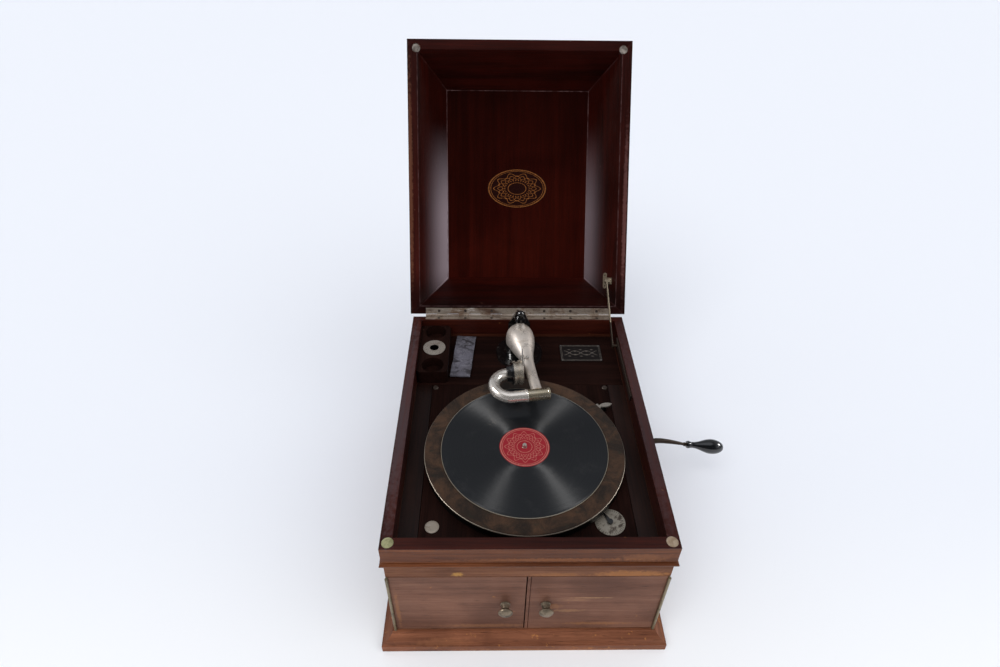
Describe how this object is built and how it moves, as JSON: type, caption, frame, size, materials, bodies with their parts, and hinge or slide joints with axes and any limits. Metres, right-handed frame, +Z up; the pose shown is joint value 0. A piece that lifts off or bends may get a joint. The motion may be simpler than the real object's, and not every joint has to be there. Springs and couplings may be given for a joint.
{
  "type": "tabletop gramophone",
  "caption": "Wind-up tabletop gramophone: coved lid on a stay, doors over an internal horn, turntable, tonearm with folding soundbox, and a side crank.",
  "frame": {"origin": "centre of the cabinet's underside, midway between the rim's front and back faces", "axes": "+Z up, -Y towards the doors, +X towards the crank"},
  "size_m": [0.5912, 0.8226, 0.6676],
  "materials": {
    "case_wood": "aged red-brown mahogany, satin",
    "rim_wood": "dark red-brown mahogany, gloss",
    "lid_wood": "dark red-brown mahogany, gloss",
    "inner_wood": "dark stained wood, satin",
    "horn_wood": "plain unstained wood",
    "felt": "worn brown-green felt",
    "shellac": "black grooved shellac with a red label",
    "nickel": "aged nickel plate, pitted",
    "hinge_nickel": "tarnished nickel",
    "aged_brass": "brown tarnished brass",
    "steel": "plain steel",
    "black_iron": "black gloss enamel",
    "plate_metal": "dark plate, plain",
    "black_handle": "black polished handle",
    "pad_felt": "worn round pad",
    "packet_paper": "crumpled bluish paper"
  },
  "bodies": {
    "case": {"base_board": "case_wood", "plinth_moulding": "case_wood", "left_side": "case_wood", "right_side": "case_wood", "back_panel": "case_wood", "front_rails": "case_wood", "rim_frame": "rim_wood", "corner_pads": "pad_felt", "horn": "horn_wood", "horn_elbow": "black_iron", "rear_deck": "inner_wood", "motor_board": "inner_wood", "board_ledges": "inner_wood", "board_screws": "hinge_nickel", "board_cap": "nickel", "needle_cup_block": "inner_wood", "needle_cup": "nickel", "nameplate": "plate_metal", "needle_packet": "packet_paper", "lid_hinge_case_leaf": "hinge_nickel", "case_hinge_screws": "hinge_nickel", "lid_hinge_pin": "steel", "stay_rail": "hinge_nickel", "tonearm_bracket": "black_iron", "door_hinge_case_leaves": "aged_brass", "door_hinge_pins": "steel", "crank_escutcheon": "nickel", "speed_dial": "nickel", "motor_frame": "steel"},
    "lid": {"lid_frame": "lid_wood", "lid_panel": "lid_wood", "lid_hinge_leaf": "hinge_nickel", "lid_hinge_screws": "hinge_nickel", "lid_pads": "pad_felt", "stay_bracket": "nickel"},
    "stay": {"stay_arm": "hinge_nickel"},
    "left_door": {"left_door": "case_wood", "left_door_leaf": "aged_brass", "left_knob": "aged_brass"},
    "right_door": {"right_door": "case_wood", "right_door_leaf": "aged_brass", "right_knob": "aged_brass"},
    "platter": {"turntable": "nickel", "turntable_felt": "felt", "record": "shellac", "spindle": "nickel"},
    "barrel": {"spring_barrel": "steel"},
    "governor": {"governor": "aged_brass"},
    "arbor": {"winding_arbor": "steel"},
    "crank": {"crank_rod": "steel"},
    "handle": {"crank_handle": "black_handle"},
    "tonearm": {"tonearm": "nickel"},
    "soundbox": {"gooseneck": "nickel", "soundbox_shell": "nickel", "soundbox_flange": "black_iron", "diaphragm": "steel", "needle_arm": "nickel", "needle": "steel"},
    "speed_lever": {"speed_lever": "black_iron"},
    "brake": {"brake_lever": "nickel"}
  },
  "joints": [
    {"name": "lid_hinge", "type": "hinge", "parent": "case", "child": "lid", "pos_m": [0, 0.246, 0.2485], "axis": [1, 0, 0], "range_deg": [0, 121.9]},
    {"name": "stay_pivot", "type": "hinge", "parent": "lid", "child": "stay", "pos_m": [0.1685, 0.29351, 0.29549], "axis": [1, 0, 0], "range_deg": [-137, 0]},
    {"name": "left_door_hinge", "type": "hinge", "parent": "case", "child": "left_door", "pos_m": [-0.1932, -0.2433, 0.104], "axis": [0, 0, -1], "range_deg": [0, 170]},
    {"name": "right_door_hinge", "type": "hinge", "parent": "case", "child": "right_door", "pos_m": [0.1932, -0.2433, 0.104], "axis": [0, 0, 1], "range_deg": [0, 170]},
    {"name": "platter_spin", "type": "hinge", "parent": "case", "child": "platter", "pos_m": [0, -0.062, 0.232], "axis": [0, 0, 1], "continuous": true},
    {"name": "barrel_spin", "type": "hinge", "parent": "case", "child": "barrel", "pos_m": [-0.05185, -0.036, 0.16], "axis": [0, 0, 1], "continuous": true},
    {"name": "governor_spin", "type": "hinge", "parent": "case", "child": "governor", "pos_m": [0, -0.0849, 0.161], "axis": [1, 0, 0], "continuous": true},
    {"name": "crank_turn", "type": "hinge", "parent": "case", "child": "crank", "pos_m": [0.2, -0.036, 0.133], "axis": [1, 0, 0], "continuous": true},
    {"name": "arbor_turn", "type": "hinge", "parent": "case", "child": "arbor", "pos_m": [-0.05185, -0.036, 0.144], "axis": [0, 0, 1], "continuous": true},
    {"name": "handle_spin", "type": "hinge", "parent": "crank", "child": "handle", "pos_m": [0.3035, 0.06605, 0.091], "axis": [0.9919, 0, -0.1271], "continuous": true},
    {"name": "tonearm_swivel", "type": "hinge", "parent": "case", "child": "tonearm", "pos_m": [0.001, 0.181, 0.255], "axis": [0, 0, 1], "range_deg": [-8, 32]},
    {"name": "gooseneck_tilt", "type": "hinge", "parent": "tonearm", "child": "soundbox", "pos_m": [0.02375, 0.01909, 0.266], "axis": [0.9903, 0.1392, 0], "range_deg": [0, 173.39]},
    {"name": "speed_turn", "type": "hinge", "parent": "case", "child": "speed_lever", "pos_m": [0.1164, -0.1785, 0.212], "axis": [0, 0, 1], "range_deg": [-40, 40]},
    {"name": "brake_turn", "type": "hinge", "parent": "case", "child": "brake", "pos_m": [0.137, 0.039, 0.214], "axis": [0, 0, 1], "range_deg": [0, 10]}
  ],
  "couplings": [
    {"joint": "stay_pivot", "follows": "lid_hinge", "ratio": -1.12},
    {"joint": "barrel_spin", "follows": "platter_spin", "ratio": -0.30435},
    {"joint": "governor_spin", "follows": "platter_spin", "ratio": 8},
    {"joint": "arbor_turn", "follows": "crank_turn", "ratio": -0.46154}
  ]
}
